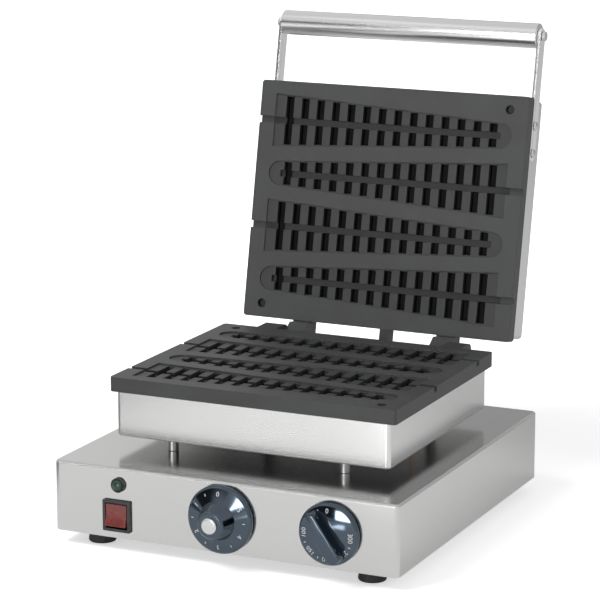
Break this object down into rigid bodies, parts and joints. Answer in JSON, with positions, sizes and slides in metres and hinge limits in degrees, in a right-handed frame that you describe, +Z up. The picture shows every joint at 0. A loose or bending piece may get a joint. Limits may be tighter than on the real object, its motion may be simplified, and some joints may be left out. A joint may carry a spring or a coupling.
{
  "type": "waffle stick maker",
  "caption": "Countertop waffle stick maker with hinged cooking plates, tapered stick moulds, a tube handle, timer and heat dials, a rocker switch and a pilot lamp on a folded steel base.",
  "frame": {"origin": "on the table, at the centre of the bounding box's bottom face, with the lid open as in the picture", "axes": "+X to the right as seen from the front panel, +Y from the front panel towards the hinges, +Z up"},
  "size_m": [0.33, 0.4524, 0.4323],
  "materials": {
    "stainless": "brushed, satin",
    "plain_steel": "dull zinc plate",
    "chrome": "polished",
    "nonstick": "cast, with a dark nonstick coating",
    "control_case": "plain",
    "rubber": "matte",
    "black_plastic": "satin",
    "red_plastic": "gloss, translucent",
    "green_lens": "gloss, translucent",
    "wool": "pressed mineral wool",
    "copper": "plain copper",
    "ceramic": "unglazed"
  },
  "bodies": {
    "base": {"base_shell": "stainless", "bottom_plate": "plain_steel", "foot_front_left": "rubber", "foot_front_right": "rubber", "foot_rear_left": "rubber", "foot_rear_right": "rubber", "foot_screw_front_left": "plain_steel", "foot_screw_front_right": "plain_steel", "foot_screw_rear_left": "plain_steel", "foot_screw_rear_right": "plain_steel", "post_front_left": "stainless", "post_front_right": "stainless", "post_rear_left": "stainless", "post_rear_right": "stainless", "lower_pan": "stainless", "lower_plate": "nonstick", "lower_heater": "plain_steel", "lower_clamp_plate": "plain_steel", "lower_clamp_screw": "plain_steel", "lower_insulation": "wool", "lower_plate_screw_left": "plain_steel", "lower_plate_screw_right": "plain_steel", "hinge_pin_left": "plain_steel", "hinge_pin_right": "plain_steel", "lid_stop": "plain_steel", "lid_stop_screw": "plain_steel", "timer_body": "control_case", "timer_nut": "plain_steel", "thermostat_body": "control_case", "thermostat_nut": "plain_steel", "thermostat_capillary": "copper", "switch_housing": "black_plastic", "lamp_body": "black_plastic", "lamp_lens": "green_lens", "cable_gland": "black_plastic", "gland_nut": "black_plastic", "terminal_block": "ceramic"},
    "lid": {"upper_plate": "nonstick", "upper_heater": "plain_steel", "upper_clamp_plate": "plain_steel", "upper_clamp_screw": "plain_steel", "upper_insulation": "wool", "upper_plate_screw_left": "plain_steel", "upper_plate_screw_right": "plain_steel", "upper_cover": "stainless", "handle_arm_left": "chrome", "handle_arm_right": "chrome", "handle_tube": "chrome", "handle_screw_left": "chrome", "handle_screw_right": "chrome", "arm_rivet_front_left": "chrome", "arm_rivet_front_right": "chrome", "arm_rivet_rear_left": "chrome", "arm_rivet_rear_right": "chrome"},
    "timer_dial": {"timer_knob": "chrome", "timer_cap": "chrome", "timer_shaft": "plain_steel"},
    "thermostat_dial": {"thermostat_knob": "chrome", "thermostat_shaft": "plain_steel"},
    "rocker": {"switch_rocker": "red_plastic"}
  },
  "joints": [
    {"name": "lid_hinge", "type": "hinge", "parent": "base", "child": "lid", "pos_m": [0, 0.1073, 0.1255], "axis": [1, 0, 0], "range_deg": [0, 101.6]},
    {"name": "timer_turn", "type": "hinge", "parent": "base", "child": "timer_dial", "pos_m": [0.0005, -0.1992, 0.044], "axis": [0, 1, 0], "range_deg": [0, 300]},
    {"name": "thermostat_turn", "type": "hinge", "parent": "base", "child": "thermostat_dial", "pos_m": [0.103, -0.1992, 0.0445], "axis": [0, 1, 0], "range_deg": [0, 270]},
    {"name": "switch_rock", "type": "hinge", "parent": "base", "child": "rocker", "pos_m": [-0.102, -0.1962, 0.033], "axis": [1, 0, 0], "range_deg": [0, 16]}
  ]
}
